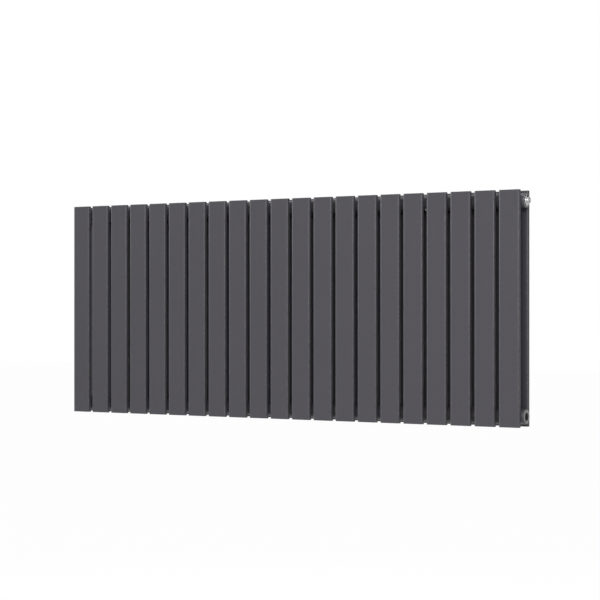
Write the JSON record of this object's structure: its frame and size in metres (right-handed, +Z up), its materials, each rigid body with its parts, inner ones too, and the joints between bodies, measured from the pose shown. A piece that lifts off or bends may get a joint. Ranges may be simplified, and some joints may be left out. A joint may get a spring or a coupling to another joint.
{
  "type": "flat panel radiator",
  "caption": "Horizontal double-row flat-panel central heating radiator with round headers, end ports, air vent and wall brackets.",
  "frame": {"origin": "on the wall, at the middle of the left hook's plate", "axes": "+X along the width to the right as seen from the room, +Y into the wall, +Z up"},
  "size_m": [1.4402, 0.104, 0.6],
  "materials": {
    "paint": "satin anthracite powder coat",
    "boss_metal": "turned, dull",
    "chrome": "polished",
    "bracket_coat": "satin",
    "nylon": "matt",
    "rubber": "matt"
  },
  "bodies": {
    "radiator": {"front_panel_01": "paint", "front_panel_02": "paint", "front_panel_03": "paint", "front_panel_04": "paint", "front_panel_05": "paint", "front_panel_06": "paint", "front_panel_07": "paint", "front_panel_08": "paint", "front_panel_09": "paint", "front_panel_10": "paint", "front_panel_11": "paint", "front_panel_12": "paint", "front_panel_13": "paint", "front_panel_14": "paint", "front_panel_15": "paint", "front_panel_16": "paint", "front_panel_17": "paint", "front_panel_18": "paint", "front_panel_19": "paint", "front_panel_20": "paint", "front_panel_21": "paint", "rear_panel_01": "paint", "rear_panel_02": "paint", "rear_panel_03": "paint", "rear_panel_04": "paint", "rear_panel_05": "paint", "rear_panel_06": "paint", "rear_panel_07": "paint", "rear_panel_08": "paint", "rear_panel_09": "paint", "rear_panel_10": "paint", "rear_panel_11": "paint", "rear_panel_12": "paint", "rear_panel_13": "paint", "rear_panel_14": "paint", "rear_panel_15": "paint", "rear_panel_16": "paint", "rear_panel_17": "paint", "rear_panel_18": "paint", "rear_panel_19": "paint", "rear_panel_20": "paint", "rear_panel_21": "paint", "top_header": "paint", "bottom_header": "paint", "boss_top_left": "boss_metal", "boss_top_right": "boss_metal", "boss_bottom_left": "boss_metal", "boss_bottom_right": "boss_metal", "vent_plug": "chrome", "blanking_plug": "chrome", "vent_o_ring": "rubber", "blanking_o_ring": "rubber", "hook_left": "bracket_coat", "hook_right": "bracket_coat", "spacer_left": "bracket_coat", "spacer_right": "bracket_coat", "liner_left": "nylon", "liner_right": "nylon"},
    "nozzle": {"vent_nozzle": "chrome"},
    "bleed_screw": {"vent_screw": "chrome"}
  },
  "joints": [
    {"name": "nozzle_swivel", "type": "hinge", "parent": "radiator", "child": "nozzle", "pos_m": [1.162, -0.07, 0.019], "axis": [1, 0, 0], "continuous": true},
    {"name": "bleed_screw_turn", "type": "hinge", "parent": "radiator", "child": "bleed_screw", "pos_m": [1.162, -0.07, 0.019], "axis": [1, 0, 0], "range_deg": [0, 360]}
  ]
}
